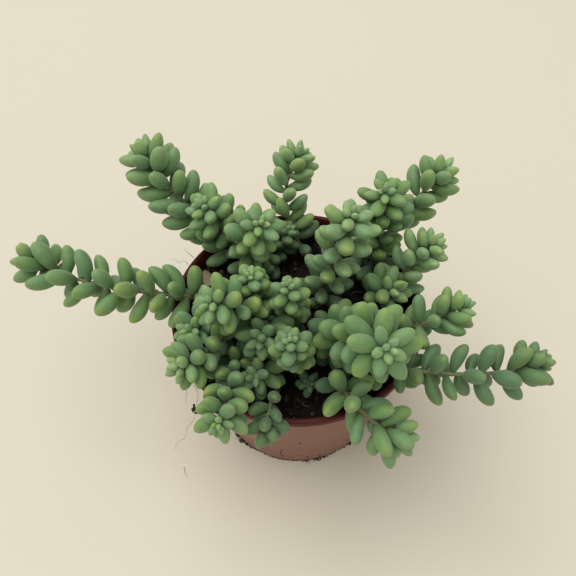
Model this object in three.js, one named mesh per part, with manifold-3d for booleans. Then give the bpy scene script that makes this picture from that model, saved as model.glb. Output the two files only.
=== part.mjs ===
// Burro's tail (a trailing stonecrop with plump leaves) in a 12 cm plastic nursery pot.
// Millimetres, +Z up. The origin is the middle of the pot's underside, and the front of the plant faces -Y.
import * as THREE from "three";
import { mergeVertices } from "three/addons/utils/BufferGeometryUtils.js";
import Module from "manifold-3d";

const wasm = await Module();
wasm.setup();

// Pot
const POT_HEIGHT = 84;
const RIM_RADIUS = 60;
const BASE_RADIUS = 44.5;
const POT_WALL = 1.2;
const LIP_WIDTH = 2.6;
const LIP_DEPTH = 4.5;
const FOOT_HEIGHT = 2.5;
const FOOT_WIDTH = 4;
const CENTRE_DISC = 12;
const DRAIN_HOLES = 6;
const DRAIN_RADIUS = 4;
const DRAIN_CIRCLE = 27;
const POT_SIDES = 30;

// Soil
const GAP = 0.3;
const SOIL_TOP = 72;
const SOIL_BUMPS = 1.4;
const SOIL_SIDES = 24;
const HEAP_HEIGHT = 5;
const HEAP_WAY = THREE.MathUtils.degToRad(157.5);
const HEAP_FLAT = THREE.MathUtils.degToRad(8.5);
const HEAP_END = THREE.MathUtils.degToRad(22.5);
const HEAP_START = 40;
const HEAP_TOP = 46;

// Stems: each foot stands in a hole and the visible stem starts just above the soil
const STEM_RADIUS = 1.4;
const STEM_SIDES = 4;
const STEM_STEP = 8;
const STEM_TIP = 7;
const BUD_RADIUS = 2.8;
const BUD_LEAF = 3;
const FOOT_STEPS = 2;
const STEM_START = SOIL_TOP + 0.8;
const BARE_FOOT = 10;
const SHORT_STEM = 40;

// Leaves: they sit on the stem in a spiral, small and closed at the tip, large and open lower down
const GOLDEN_ANGLE = THREE.MathUtils.degToRad(137.508);
const ROSETTE_BUD = 0.3;
const BUD_ANGLE = 7;
const GROWING_LEAVES = 12;
const CROWDED_LEAVES = 16;
const ROUND_KIND = 10;
const ROUNDER = 1.2;
const LEAF_SIDES = 4;
const ROOT_START = 0.01;
const SMALL_LEAF = 11;
const BUD_LEAVES = 9;
const LOW_LEAVES = 28;
const PATH_SAMPLES = 120;

// Spacing of the leaves: each is stood in for by four balls [place along the leaf, share of its half width]
const BALLS = [
  [0.24, 0.74],
  [0.44, 0.98],
  [0.64, 1.0],
  [0.84, 0.74],
];
const LEAF_GAP = 0.55;
const ROUNDS = 60;
const MOST_TURN = THREE.MathUtils.degToRad(50);
const SHRINK = 0.94;
const SHRINKS = 14;
const SMALLEST_SHARE = 0.5;
const UP = new THREE.Vector3(0, 0, 1);

// Each stem: the four control points of its curve (x, y, z), the length of a grown leaf, the distance along the
// stem from leaf to leaf, the number of leaves, the angle that grown leaves open to, the seed of its draws, and
// the size of its youngest leaves as a share of a grown one. Where these are large, the tip is a loose fan.
const STEMS = {
  left_trailing: [[-38, 8], [-49, -4, 104], [-91, -7, 97], [-127, 17, 99], 15.5, 2.3, 46, 78, 3, 0.5],
  back_left: [[-28, 34], [-38, 38, 100], [-58, 40, 110], [-73, 58, 127], 16.5, 2, 46, 78, 5, 0.55],
  back_left_inner: [[-20, 24], [-28, 26, 94], [-22, 18, 110], [-16, 11, 130], 13, 1.9, 44, 80, 7, 0.3],
  back_left_low: [[-14, 34], [-22, 38, 92], [-36, 34, 102], [-44, 32, 119], 13.5, 2, 38, 80, 9, 0.4],
  back_middle: [[3, 44], [-8, 50, 92], [-10, 60, 102], [1, 70, 117], 13, 2.1, 40, 74, 11, 0.5],
  centre_tall: [[10, 6], [14, 10, 96], [17, 6, 112], [23, 8, 138], 13.5, 1.9, 48, 80, 13, 0.35],
  back_right_long: [[26, 28], [34, 34, 98], [52, 34, 112], [68, 48, 125], 14.6, 2.3, 40, 76, 15, 0.5],
  back_right_short: [[34, 22], [40, 26, 100], [42, 32, 112], [38, 26, 134], 13, 1.8, 36, 78, 17, 0.33],
  right_upper: [[44, 4], [46, 6, 92], [52, 12, 104], [61, 13, 114], 12.5, 2.1, 34, 75, 19, 0.5],
  right_upper_low: [[41, -12], [50, -22, 100], [58, -24, 106], [69, -18, 110], 12.5, 2.1, 38, 75, 21, 0.5],
  right_trailing: [[34, -26], [42, -46, 107], [75, -50, 97], [100, -39, 100], 13, 2.4, 44, 80, 23, 0.5],
  big_rosette: [[18, -14], [16, -20, 100], [29, -39, 115], [33, -51, 129], 15.5, 1.6, 60, 86, 25, 0.3],
  front_right: [[20, -34], [16, -50, 98], [26, -66, 100], [42, -68, 87], 13.4, 2.2, 38, 78, 27, 0.5],
  front_left: [[-25, -17], [-26, -32, 96], [-29, -58, 97], [-30, -70, 105], 12, 1.75, 52, 82, 29, 0.3],
  left_low: [[-34, -8], [-32, -22, 94], [-36, -40, 104], [-47, -47, 108], 12.6, 1.9, 36, 78, 31, 0.5],
  left_rosette: [[-20, 0], [-15, -12, 99], [-22, -24, 118], [-35, -29, 127], 12.6, 1.7, 54, 84, 33, 0.3],
  left_small: [[-40, -4], [-41, -11, 86], [-42, -21, 96], [-46, -27, 102], 11, 1.8, 22, 76, 35, 0.5],
  small_back: [[-16, 12], [-18, 3, 90], [-20, -12, 106], [-20, -12, 123], 8.6, 1.5, 32, 78, 37, 0.36],
  small_middle: [[-2, 6], [-2, -6, 90], [-3, -22, 108], [-4, -20, 127], 8.6, 1.6, 34, 78, 39, 0.36],
  small_front: [[2, -14], [2, -26, 88], [-1, -46, 106], [-3, -45, 126], 8.6, 1.6, 34, 78, 41, 0.36],
  thin_hanging: [[-9, -38], [-9, -48, 91], [-13, -61, 100], [-12, -67, 87], 9, 2.2, 17, 60, 43, 0.5],
  right_inner: [[34, 4], [35, 2, 84], [38, 0, 94], [43, -2, 100], 13, 2.4, 14, 84, 45, 0.6],
  soil_sprout: [[6, -36], [6, -37, 76], [5, -39, 80], [5, -41, 83], 6.2, 1.3, 12, 72, 47, 0.3],
  back_sprout: [[-10, 39], [-10, 40, 80], [-9, 41, 86], [-5, 42, 91], 9, 1.6, 14, 65, 49, 0.5],
  front_inner: [[-20, -30], [-18, -33, 82], [-15, -38, 89], [-18, -44, 95], 12.5, 1.9, 30, 78, 51, 0.5],
  left_middle: [[-8, -12], [-10, -15, 88], [-13, -22, 100], [-15, -34, 108], 13, 1.9, 40, 80, 55, 0.5],
  left_inner: [[-30, 14], [-33, 4, 84], [-36, -2, 90], [-41, -7, 97], 11, 2, 22, 78, 53, 0.5],
};

// The dry leaf on the soil at the back left
const DRY_LEAF = { length: 11, width: 6, thickness: 1.6, curl: 0.8, place: [-45.5, 21.5], turn: 0.42 };

// A repeatable random draw from 0 to 1.
function draws(seed) {
  let state = seed * 7919 + 17;
  return () => {
    state = (state * 16807) % 2147483647;
    return state / 2147483647;
  };
}

// A ramp from 0 to 1 with soft ends.
const ease = (g) => g * g * (3 - 2 * g);

// A closed three.js geometry as a manifold solid.
function solid(geometry) {
  const bare = geometry.clone();
  bare.deleteAttribute("normal");
  bare.deleteAttribute("uv");
  const merged = mergeVertices(bare, 1e-4);
  const corners = [];
  for (let i = 0; i < merged.index.count; i += 3) {
    const [a, b, c] = [0, 1, 2].map((k) => merged.index.getX(i + k));
    if (a !== b && b !== c && c !== a) corners.push(a, b, c);
  }
  return new wasm.Manifold(
    new wasm.Mesh({
      numProp: 3,
      vertProperties: merged.attributes.position.array,
      triVerts: new Uint32Array(corners),
    }),
  );
}

// A manifold solid as a named three.js mesh.
function mesh(name, shape, color, roughness) {
  const { vertProperties, triVerts } = shape.getMesh();
  const geometry = new THREE.BufferGeometry();
  geometry.setAttribute("position", new THREE.BufferAttribute(vertProperties, 3));
  geometry.setIndex(new THREE.BufferAttribute(triVerts, 1));
  geometry.computeVertexNormals();
  const made = new THREE.Mesh(geometry, new THREE.MeshStandardMaterial({ color, roughness, metalness: 0 }));
  made.name = name;
  return made;
}

// A turned shape with its axis along Z, from [radius, height] points.
function turned(points, sides) {
  const profile = points.map(([radius, height]) => new THREE.Vector2(radius, height));
  return new THREE.LatheGeometry(profile, sides).rotateX(Math.PI / 2);
}

// Radius of the pot's outside at a height.
const potRadius = (z) => BASE_RADIUS + ((RIM_RADIUS - LIP_WIDTH / 2 - BASE_RADIUS) * z) / POT_HEIGHT;

function makePot() {
  const floor = FOOT_HEIGHT + POT_WALL;
  const inner = (z) => potRadius(z) - POT_WALL;
  const lipBottom = POT_HEIGHT - LIP_DEPTH;
  let shape = solid(
    turned(
      [
        [0, 0],
        [CENTRE_DISC, 0],
        [CENTRE_DISC + 1, FOOT_HEIGHT],
        [BASE_RADIUS - FOOT_WIDTH - 1, FOOT_HEIGHT],
        [BASE_RADIUS - FOOT_WIDTH, 0],
        [BASE_RADIUS - 0.8, 0],
        [potRadius(1), 1],
        [potRadius(lipBottom), lipBottom],
        [RIM_RADIUS, lipBottom + 0.8],
        [RIM_RADIUS, POT_HEIGHT - 0.9],
        [RIM_RADIUS - 0.8, POT_HEIGHT],
        [RIM_RADIUS - LIP_WIDTH + 0.7, POT_HEIGHT],
        [inner(POT_HEIGHT - 0.9), POT_HEIGHT - 0.9],
        [inner(floor), floor],
        [0, floor],
      ],
      POT_SIDES,
    ),
  );
  const drill = turned(
    [
      [0, -1],
      [DRAIN_RADIUS, -1],
      [DRAIN_RADIUS, floor + 1],
      [0, floor + 1],
    ],
    10,
  ).translate(DRAIN_CIRCLE, 0, 0);
  for (let k = 0; k < DRAIN_HOLES; k++) {
    shape = shape.subtract(solid(drill));
    drill.rotateZ((2 * Math.PI) / DRAIN_HOLES);
  }
  return shape;
}

// The heap of soil against the wall at the back left: its height at a place, with a flat top and sloping sides.
function heapHeight(x, y) {
  const outward = (Math.hypot(x, y) - HEAP_START) / (HEAP_TOP - HEAP_START);
  const aside = Math.abs(Math.atan2(y, x) - HEAP_WAY);
  const across = (HEAP_END - aside) / (HEAP_END - HEAP_FLAT);
  return HEAP_HEIGHT * THREE.MathUtils.clamp(outward, 0, 1) * THREE.MathUtils.clamp(across, 0, 1);
}

// The soil's uneven top: shallow waves that stay below the stems' visible start, and the heap.
const soilHeight = (x, y) =>
  SOIL_TOP -
  (SOIL_BUMPS / 2) * (1 - Math.sin(x * 0.21 + 1) * Math.cos(y * 0.17)) -
  0.3 * (1 + Math.sin(x * 0.07 - y * 0.11)) +
  heapHeight(x, y);

function makeSoil() {
  const floor = FOOT_HEIGHT + POT_WALL + GAP;
  const radius = (z) => potRadius(z) - POT_WALL - GAP;
  const edge = radius(SOIL_TOP - 2) - 0.2;
  const rings = [0.98, 0.85, 0.74, 0.5, 0.25].map((share) => [share * edge, SOIL_TOP]);
  const body = turned(
    [
      [0, floor],
      [radius(floor), floor],
      [edge, SOIL_TOP - 2.5],
      ...rings,
      [0, SOIL_TOP],
    ],
    SOIL_SIDES,
  );
  const position = body.attributes.position;
  for (let i = 0; i < position.count; i++) {
    if (position.getZ(i) > SOIL_TOP - 1) {
      position.setZ(i, soilHeight(position.getX(i), position.getY(i)));
    }
  }
  let shape = solid(body);
  const depth = FOOT_STEPS * STEM_STEP;
  const hole = [
    [0, SOIL_TOP - depth],
    [STEM_RADIUS + 2 * GAP, SOIL_TOP - depth],
    [STEM_RADIUS + 2 * GAP, SOIL_TOP + 2],
    [0, SOIL_TOP + 2],
  ];
  for (const [[x, y]] of Object.values(STEMS)) {
    shape = shape.subtract(solid(turned(hole, 6).translate(x, y, 0)));
  }
  return shape;
}

// The visible curve of a stem, sampled by distance from the soil.
function stemCurve([[x, y], ...ends]) {
  const points = [[x, y, STEM_START], ...ends.slice(0, 3)];
  const curve = new THREE.CubicBezierCurve3(...points.map((p) => new THREE.Vector3(...p)));
  const places = curve.getPoints(PATH_SAMPLES);
  const along = [0];
  places.slice(1).forEach((p, i) => along.push(along[i] + p.distanceTo(places[i])));
  return { curve, places, along, total: along[PATH_SAMPLES] };
}

// The curve's parameter at a distance along it.
function parameterAt({ along }, distance) {
  const i = along.findIndex((a) => a >= distance);
  return (i - (along[i] - distance) / (along[i] - along[i - 1])) / PATH_SAMPLES;
}

// The leaves of a stem from the tip downwards, each with its root, its aim, its length and its half width.
function growLeaves(stem, index) {
  const [leafLength, spacing, count, opening, seed, budSize] = stem.slice(4);
  const path = stemCurve(stem);
  const draw = draws(seed);
  const side = new THREE.Vector3().crossVectors(UP, path.curve.v3.clone().sub(path.curve.v0)).normalize();
  const ramp = Math.min(GROWING_LEAVES, count / 2 + 2);
  const openingRamp = (ramp * budSize) / ROSETTE_BUD;
  const leaves = [];
  let fromTip = 0;
  let turn = 2 * Math.PI * draw();
  for (let j = 0; j < count; j++) {
    fromTip += spacing * (0.1 + 0.9 * Math.min(1, j / CROWDED_LEAVES) ** 1.5) * (0.85 + 0.3 * draw());
    turn += GOLDEN_ANGLE + 0.25 * (draw() - 0.5);
    if (path.total - fromTip < BARE_FOOT * Math.min(1, path.total / SHORT_STEM)) break;
    const t = parameterAt(path, path.total - fromTip);
    const grown = ease(Math.min(1, j / ramp));
    const size = budSize + (1 - budSize) * grown;
    const opened = ease(Math.min(1, j / openingRamp));
    const angle = BUD_ANGLE + (opening - BUD_ANGLE) * opened + 12 * opened * (draw() - 0.5);
    const length = leafLength * size * (0.9 + 0.2 * draw());
    const stemAim = path.curve.getTangent(t);
    const u = side.clone().addScaledVector(stemAim, -side.dot(stemAim)).normalize();
    const v = new THREE.Vector3().crossVectors(stemAim, u);
    const outward = u.multiplyScalar(Math.cos(turn)).addScaledVector(v, Math.sin(turn));
    const open = THREE.MathUtils.degToRad(angle);
    const aim = stemAim.clone().multiplyScalar(Math.cos(open)).addScaledVector(outward, Math.sin(open));
    leaves.push({
      stem: index,
      built: j >= BUD_LEAVES && path.total - fromTip > LOW_LEAVES,
      root: path.curve.getPoint(t),
      stemAim,
      aim,
      firstAim: aim.clone(),
      length,
      halfWidth: length * (0.35 - 0.1 * size) * (leafLength < ROUND_KIND ? ROUNDER : 1),
      bend: 0.1 + 0.12 * draw(),
      share: 1,
    });
  }
  return leaves;
}

// The direction in which a leaf curves: back towards the stem's tip.
const curl = ({ stemAim, aim }) => stemAim.clone().addScaledVector(aim, -stemAim.dot(aim)).normalize();

// A leaf's balls as [centre, radius, distance from the root].
function ballsOf(leaf) {
  const inward = curl(leaf);
  const length = leaf.length * leaf.share;
  return BALLS.map(([t, share]) => [
    leaf.root.clone().addScaledVector(leaf.aim, t * length).addScaledVector(inward, leaf.bend * t * t * length),
    share * leaf.halfWidth * leaf.share,
    t * length,
  ]);
}

// How far a ball reaches into the soil or the pot wall, as a push out of them.
function pushFromPot(centre, radius) {
  const push = new THREE.Vector3();
  const out = Math.hypot(centre.x, centre.y);
  const soil = SOIL_TOP + heapHeight(centre.x, centre.y) + LEAF_GAP + radius - centre.z;
  if (out < RIM_RADIUS && soil > 0) push.z += soil;
  const wall = new THREE.Line3(
    new THREE.Vector3(BASE_RADIUS, 0, 0),
    new THREE.Vector3(RIM_RADIUS - LIP_WIDTH / 2, 0, POT_HEIGHT - LIP_WIDTH / 2),
  );
  const flat = new THREE.Vector3(out, 0, centre.z);
  const away = flat.clone().sub(wall.closestPointToPoint(flat, true, new THREE.Vector3()));
  const depth = LIP_WIDTH / 2 + LEAF_GAP + radius - away.length();
  if (depth > 0) {
    away.setLength(depth);
    push.add(new THREE.Vector3((away.x * centre.x) / out, (away.x * centre.y) / out, away.z));
  }
  return push;
}

// Pushes each leaf clear of its neighbours. Returns each leaf's turning push, and how deep it still lies in
// another stem's pieces, the soil or the pot.
function pushes(leaves, pairs, stemPairs, stemBalls) {
  const balls = leaves.map(ballsOf);
  const push = leaves.map(() => new THREE.Vector3());
  const depth = leaves.map(() => 0);
  const between = new THREE.Vector3();
  for (const [i, j] of pairs) {
    const same = leaves[i].stem === leaves[j].stem;
    for (const [a, [p, pr, parm]] of balls[i].entries()) {
      for (const [b, [q, qr, qarm]] of balls[j].entries()) {
        if (same && (a === 0 || b === 0)) continue;
        between.subVectors(p, q);
        const need = same ? 0.9 * (pr + qr) : pr + qr + LEAF_GAP;
        const gap = between.length();
        if (gap >= need) continue;
        between.multiplyScalar((need - gap) / gap / 2);
        push[i].addScaledVector(between, 1 / parm);
        push[j].addScaledVector(between, -1 / qarm);
        if (!same) {
          depth[i] = Math.max(depth[i], need - gap);
          depth[j] = Math.max(depth[j], need - gap);
        }
      }
    }
  }
  for (const [i, k] of stemPairs) {
    for (const [p, pr, arm] of balls[i]) {
      between.subVectors(p, stemBalls[k].place);
      const gap = between.length();
      const need = pr + STEM_RADIUS + 0.2 + LEAF_GAP;
      if (gap >= need) continue;
      push[i].addScaledVector(between, (need - gap) / gap / arm);
      depth[i] = Math.max(depth[i], need - gap);
    }
  }
  leaves.forEach((leaf, i) => {
    for (const [p, pr, arm] of balls[i]) {
      const out = pushFromPot(p, pr);
      push[i].addScaledVector(out, 1 / arm);
      depth[i] = Math.max(depth[i], out.length());
    }
  });
  return { push, depth };
}

// Turns crowded leaves aside, up to a limit, then shrinks the few that still touch another stem, the soil or the
// pot, and leaves out those that find no room.
function settle(leaves, paths) {
  const stemBalls = paths.flatMap((path, stem) =>
    path.places.filter((_, i) => i % 4 === 0).map((place) => ({ place, stem })),
  );
  const pairs = [];
  const stemPairs = [];
  leaves.forEach((leaf, i) => {
    for (let j = i + 1; j < leaves.length; j++) {
      if (leaf.root.distanceTo(leaves[j].root) < leaf.length + leaves[j].length + 2) pairs.push([i, j]);
    }
    stemBalls.forEach(({ place, stem }, k) => {
      if (stem !== leaf.stem && leaf.root.distanceTo(place) < leaf.length + 4) stemPairs.push([i, k]);
    });
  });
  for (let round = 0; round < ROUNDS; round++) {
    const { push } = pushes(leaves, pairs, stemPairs, stemBalls);
    leaves.forEach((leaf, i) => {
      leaf.aim.addScaledVector(push[i], 0.6).normalize();
      const turned = leaf.aim.angleTo(leaf.firstAim);
      if (turned > MOST_TURN) {
        const sideways = leaf.aim.clone().addScaledVector(leaf.firstAim, -Math.cos(turned)).normalize();
        leaf.aim.copy(leaf.firstAim).multiplyScalar(Math.cos(MOST_TURN));
        leaf.aim.addScaledVector(sideways, Math.sin(MOST_TURN));
      }
    });
  }
  for (let round = 0; round < SHRINKS; round++) {
    const { depth } = pushes(leaves, pairs, stemPairs, stemBalls);
    leaves.forEach((leaf, i) => {
      if (depth[i] > 0.2) leaf.share *= SHRINK;
    });
  }
  return leaves.filter((leaf) => leaf.share > SMALLEST_SHARE);
}

// Moves a shape made along +Z so that its base is at a point, its Z runs along aim and its X towards inward.
function place(geometry, base, aim, inward) {
  const frame = new THREE.Matrix4().makeBasis(inward, new THREE.Vector3().crossVectors(aim, inward), aim);
  return geometry.applyMatrix4(frame.setPosition(base));
}

// A plump leaf: a narrow root inside the stem, widest past the middle, a blunt tip, and curved along its length.
function leafShape(leaf) {
  const length = leaf.length * leaf.share;
  const width = leaf.halfWidth * leaf.share;
  const rings = length > SMALL_LEAF ? [[0.97, 0.36], [0.94, 0.76]] : [[1, 0.55]];
  const shape = turned(
    [[0, ROOT_START * length], ...rings.map(([share, t]) => [share * width, t * length]), [0, length]],
    LEAF_SIDES,
  );
  const position = shape.attributes.position;
  for (let i = 0; i < position.count; i++) {
    const t = Math.max(0, position.getZ(i) / length);
    position.setX(i, position.getX(i) + leaf.bend * t * t * length);
  }
  return place(shape, leaf.root, leaf.aim, curl(leaf));
}

// The stretch of a cubic curve from its start to a parameter.
function firstPart({ v0, v1, v2, v3 }, t) {
  const between = (a, b) => new THREE.Vector3().lerpVectors(a, b, t);
  const [a, b, c] = [between(v0, v1), between(v1, v2), between(v2, v3)];
  return new THREE.CubicBezierCurve3(v0, a, between(a, b), between(between(a, b), between(b, c)));
}

// A straight foot under the start of a curve, and then the curve.
class FootedCurve extends THREE.Curve {
  constructor(stalk, footDepth) {
    super();
    this.stalk = stalk;
    this.foot = new THREE.LineCurve3(stalk.v0.clone().addScaledVector(UP, -footDepth), stalk.v0);
    this.share = footDepth / (footDepth + stalk.getLength());
  }

  getPoint(t) {
    if (t < this.share) return this.foot.getPoint(t / this.share);
    return this.stalk.getPointAt(Math.min(1, (t - this.share) / (1 - this.share)));
  }
}

// A stem with its foot, its thin growing tip and its leaves, joined in one body.
function makeStem(path, leaves, budSize) {
  const { curve, total } = path;
  const tipStart = parameterAt(path, total - STEM_TIP * Math.min(1, total / SHORT_STEM));
  const stalk = firstPart(curve, tipStart);
  const tipBase = stalk.v3;
  const steps = Math.ceil(stalk.getLength() / STEM_STEP);
  const footDepth = (FOOT_STEPS * stalk.getLength()) / steps;
  const corners = Array.from({ length: STEM_SIDES }, (_, i) => (2 * Math.PI * i) / STEM_SIDES);
  const section = new THREE.Shape(
    corners.map((angle) => new THREE.Vector2(STEM_RADIUS * Math.cos(angle), STEM_RADIUS * Math.sin(angle))),
  );
  const stalkShape = new THREE.ExtrudeGeometry(section, {
    steps: steps + FOOT_STEPS,
    extrudePath: new FootedCurve(stalk, footDepth),
  });
  const bud = tipBase.distanceTo(curve.v3);
  const grown = Math.min(1, total / SHORT_STEM);
  const budGirth = budSize / ROSETTE_BUD;
  const tip = turned(
    [
      [0, -1.5],
      [STEM_RADIUS * 0.85, 0],
      [BUD_RADIUS * grown * budGirth, 0.7 * bud],
      [0, bud + BUD_LEAF * grown * budGirth],
    ],
    STEM_SIDES + 1,
  );
  const aim = curve.v3.clone().sub(tipBase).normalize();
  const across = new THREE.Vector3().crossVectors(UP, aim).normalize();
  const shapes = [stalkShape, place(tip, tipBase, aim, across), ...leaves.map(leafShape)];
  return wasm.Manifold.union(shapes.map(solid));
}

// The loose dry leaf: a shrunken leaf that lies flat on the soil, its ends curled up.
function makeDryLeaf() {
  const { length, width, thickness, curl: rise, place: [x, y], turn } = DRY_LEAF;
  const rings = [0.12, 0.35, 0.65, 0.88].map((t) => [(width / 2) * Math.sin(Math.PI * t) ** 0.6, t * length]);
  const shape = turned([[0, 0], ...rings, [0, length]], 8).translate(0, 0, -length / 2);
  shape.rotateX(Math.PI / 2).scale(1, 1, thickness / width);
  const position = shape.attributes.position;
  for (let i = 0; i < position.count; i++) {
    position.setZ(i, position.getZ(i) + rise * (position.getY(i) / (length / 2)) ** 2);
  }
  const base = soilHeight(x, y) + thickness / 2;
  return solid(shape.rotateZ(turn).translate(x, y, base));
}

const plant = new THREE.Group();
plant.add(mesh("pot", makePot(), "#7a3b30", 0.5));
plant.add(mesh("soil", makeSoil(), "#2b221c", 0.95));
plant.add(mesh("dry_leaf", makeDryLeaf(), "#b08d62", 0.9));

const paths = Object.values(STEMS).map(stemCurve);
const leaves = settle(Object.values(STEMS).flatMap(growLeaves), paths);
Object.keys(STEMS).forEach((name, index) => {
  const own = leaves.filter((leaf) => leaf.stem === index && leaf.built);
  const budSize = STEMS[name].at(-1);
  plant.add(mesh("stem_" + name, makeStem(paths[index], own, budSize), "#7f9f74", 0.6));
});

export default plant;
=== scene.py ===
import math

import bpy
import numpy as np
from mathutils import Matrix, Vector


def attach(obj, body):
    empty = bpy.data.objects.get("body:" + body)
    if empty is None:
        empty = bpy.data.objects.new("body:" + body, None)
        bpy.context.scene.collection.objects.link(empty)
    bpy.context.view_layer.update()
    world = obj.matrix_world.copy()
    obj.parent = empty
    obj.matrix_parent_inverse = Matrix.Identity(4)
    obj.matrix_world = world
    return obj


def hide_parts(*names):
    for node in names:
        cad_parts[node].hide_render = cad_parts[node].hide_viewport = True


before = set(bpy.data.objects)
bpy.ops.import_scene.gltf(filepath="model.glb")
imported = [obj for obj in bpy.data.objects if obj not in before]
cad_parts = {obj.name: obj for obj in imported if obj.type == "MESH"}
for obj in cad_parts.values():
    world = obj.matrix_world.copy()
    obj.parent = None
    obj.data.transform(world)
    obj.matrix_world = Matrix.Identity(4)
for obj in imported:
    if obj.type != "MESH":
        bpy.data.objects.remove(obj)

bpy.ops.object.select_all(action="DESELECT")
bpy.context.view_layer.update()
MM = 0.001


# The nursery pot: one thin shell of terracotta-coloured polypropylene, moulded with a rolled lip, a raised
# floor with six drain holes and a narrow foot ring. Handling has left the wall dull with dry soil dust, while
# the lip and the inside stay dark red with a soft gloss.
POT_HEIGHT = 84
RIM_RADIUS = 60
BASE_RADIUS = 44.5
POT_WALL = 1.2
LIP_WIDTH = 2.6
LIP_DEPTH = 4.5
FOOT_HEIGHT = 2.5
FOOT_WIDTH = 4
CENTRE_DISC = 12
DRAIN_HOLES = 6
DRAIN_RADIUS = 4
DRAIN_CIRCLE = 27
DRILL_LENGTH = 12
CAP_RADIUS = 1
POT_SIDES = 120
WALL_RINGS = 24


def pot_radius(height):
    """The radius of the pot's outside at a height, in mm."""
    return BASE_RADIUS + (RIM_RADIUS - LIP_WIDTH / 2 - BASE_RADIUS) * height / POT_HEIGHT


def select_vertices(piece, test):
    """In edit mode, selects the vertices whose place in mm passes the test."""
    bpy.ops.mesh.select_mode(type="VERT")
    bpy.ops.mesh.select_all(action="DESELECT")
    bpy.ops.object.mode_set(mode="OBJECT")
    for vertex in piece.data.vertices:
        vertex.select = test(vertex.co / MM)
    bpy.ops.object.mode_set(mode="EDIT")


def turn_up(name, profile, sides):
    """A closed turned shape from (radius, height) points in mm: a circle, extruded by rings and capped."""
    radius, height = profile[0]
    bpy.ops.mesh.primitive_circle_add(vertices=sides, radius=radius * MM, location=(0, 0, height * MM))
    piece = bpy.context.object
    piece.name = piece.data.name = name
    bpy.ops.object.transform_apply(location=True)
    bpy.ops.object.mode_set(mode="EDIT")
    bpy.ops.mesh.select_all(action="SELECT")
    for next_radius, next_height in profile[1:]:
        rise = (0, 0, (next_height - height) * MM)
        bpy.ops.mesh.extrude_region_move(TRANSFORM_OT_translate={"value": rise})
        widen = next_radius / radius
        bpy.ops.transform.resize(value=(widen, widen, 1), center_override=(0, 0, 0))
        radius, height = next_radius, next_height
    bpy.ops.mesh.edge_face_add()
    first_radius, first_height = profile[0]

    def on_first_ring(place):
        return abs(place.z - first_height) < 0.01 and abs(place.xy.length - first_radius) < 0.01

    select_vertices(piece, on_first_ring)
    bpy.ops.mesh.edge_face_add()
    bpy.ops.mesh.select_all(action="SELECT")
    bpy.ops.mesh.normals_make_consistent(inside=False)
    bpy.ops.object.mode_set(mode="OBJECT")
    return piece


def apply_modifier(piece, kind, **settings):
    """Adds a modifier with its settings and applies it."""
    bpy.context.view_layer.objects.active = piece
    modifier = piece.modifiers.new(kind.lower(), kind)
    for setting, value in settings.items():
        setattr(modifier, setting, value)
    bpy.ops.object.modifier_apply(modifier=modifier.name)


pot_floor = FOOT_HEIGHT + POT_WALL
lip_bottom = POT_HEIGHT - LIP_DEPTH
lip_inside = RIM_RADIUS - LIP_WIDTH + 0.2
foot_inside = BASE_RADIUS - FOOT_WIDTH
wall_heights = [1 + (lip_bottom - 1) * ring / WALL_RINGS for ring in range(WALL_RINGS + 1)]

# The foot ring and the lip have edges that are rounded by about 1 mm, point by point.
pot_profile = [
    (CAP_RADIUS, 0),
    (CENTRE_DISC, 0),
    (CENTRE_DISC + 1, FOOT_HEIGHT),
    (foot_inside - 1, FOOT_HEIGHT),
    (foot_inside - 0.4, 1),
    (foot_inside, 0.2),
    (foot_inside + 0.4, 0),
    (BASE_RADIUS - 1, 0),
    (BASE_RADIUS - 0.4, 0.2),
    (BASE_RADIUS, 0.6),
    *[(pot_radius(height), height) for height in wall_heights],
    (pot_radius(lip_bottom) + 0.15, lip_bottom + 0.1),
    (RIM_RADIUS - 0.35, lip_bottom + 0.3),
    (RIM_RADIUS - 0.08, lip_bottom + 0.6),
    (RIM_RADIUS, lip_bottom + 1.1),
    (RIM_RADIUS, POT_HEIGHT - 1.1),
    (RIM_RADIUS - 0.12, POT_HEIGHT - 0.6),
    (RIM_RADIUS - 0.42, POT_HEIGHT - 0.2),
    (RIM_RADIUS - 0.85, POT_HEIGHT),
    (lip_inside + 0.6, POT_HEIGHT),
    (lip_inside + 0.2, POT_HEIGHT - 0.2),
    (lip_inside, POT_HEIGHT - 0.7),
    (pot_radius(POT_HEIGHT - 1.6) - POT_WALL, POT_HEIGHT - 1.6),
    (pot_radius(lip_bottom) - POT_WALL, lip_bottom),
    (pot_radius(60) - POT_WALL, 60),
    (pot_radius(30) - POT_WALL, 30),
    (pot_radius(pot_floor) - POT_WALL, pot_floor),
    (CAP_RADIUS, pot_floor),
]
pot = turn_up("nursery_pot", pot_profile, POT_SIDES)

bpy.ops.mesh.primitive_cylinder_add(vertices=24, radius=DRAIN_RADIUS * MM, depth=DRILL_LENGTH * MM)
drill = bpy.context.object
drill.location = (DRAIN_CIRCLE * MM, 0, 0)
bpy.ops.object.transform_apply(location=True)
for hole in range(DRAIN_HOLES):
    apply_modifier(pot, "BOOLEAN", object=drill, operation="DIFFERENCE", solver="EXACT")
    drill.data.transform(Matrix.Rotation(2 * math.pi / DRAIN_HOLES, 4, "Z"))
bpy.data.objects.remove(drill)


def linear(hex_colour):
    """An sRGB hex colour as the linear colour that the shader takes."""
    shares = [int(hex_colour[place:place + 2], 16) / 255 for place in (1, 3, 5)]
    lit = [share / 12.92 if share <= 0.04045 else ((share + 0.055) / 1.055) ** 2.4 for share in shares]
    return (*lit, 1)


def set_inputs(tree, node, inputs):
    """Gives each input of a shader node its plain value, or links it to the output that is given."""
    for socket, value in inputs.items():
        if isinstance(value, bpy.types.NodeSocket):
            tree.links.new(value, node.inputs[socket])
        else:
            node.inputs[socket].default_value = value


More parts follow.
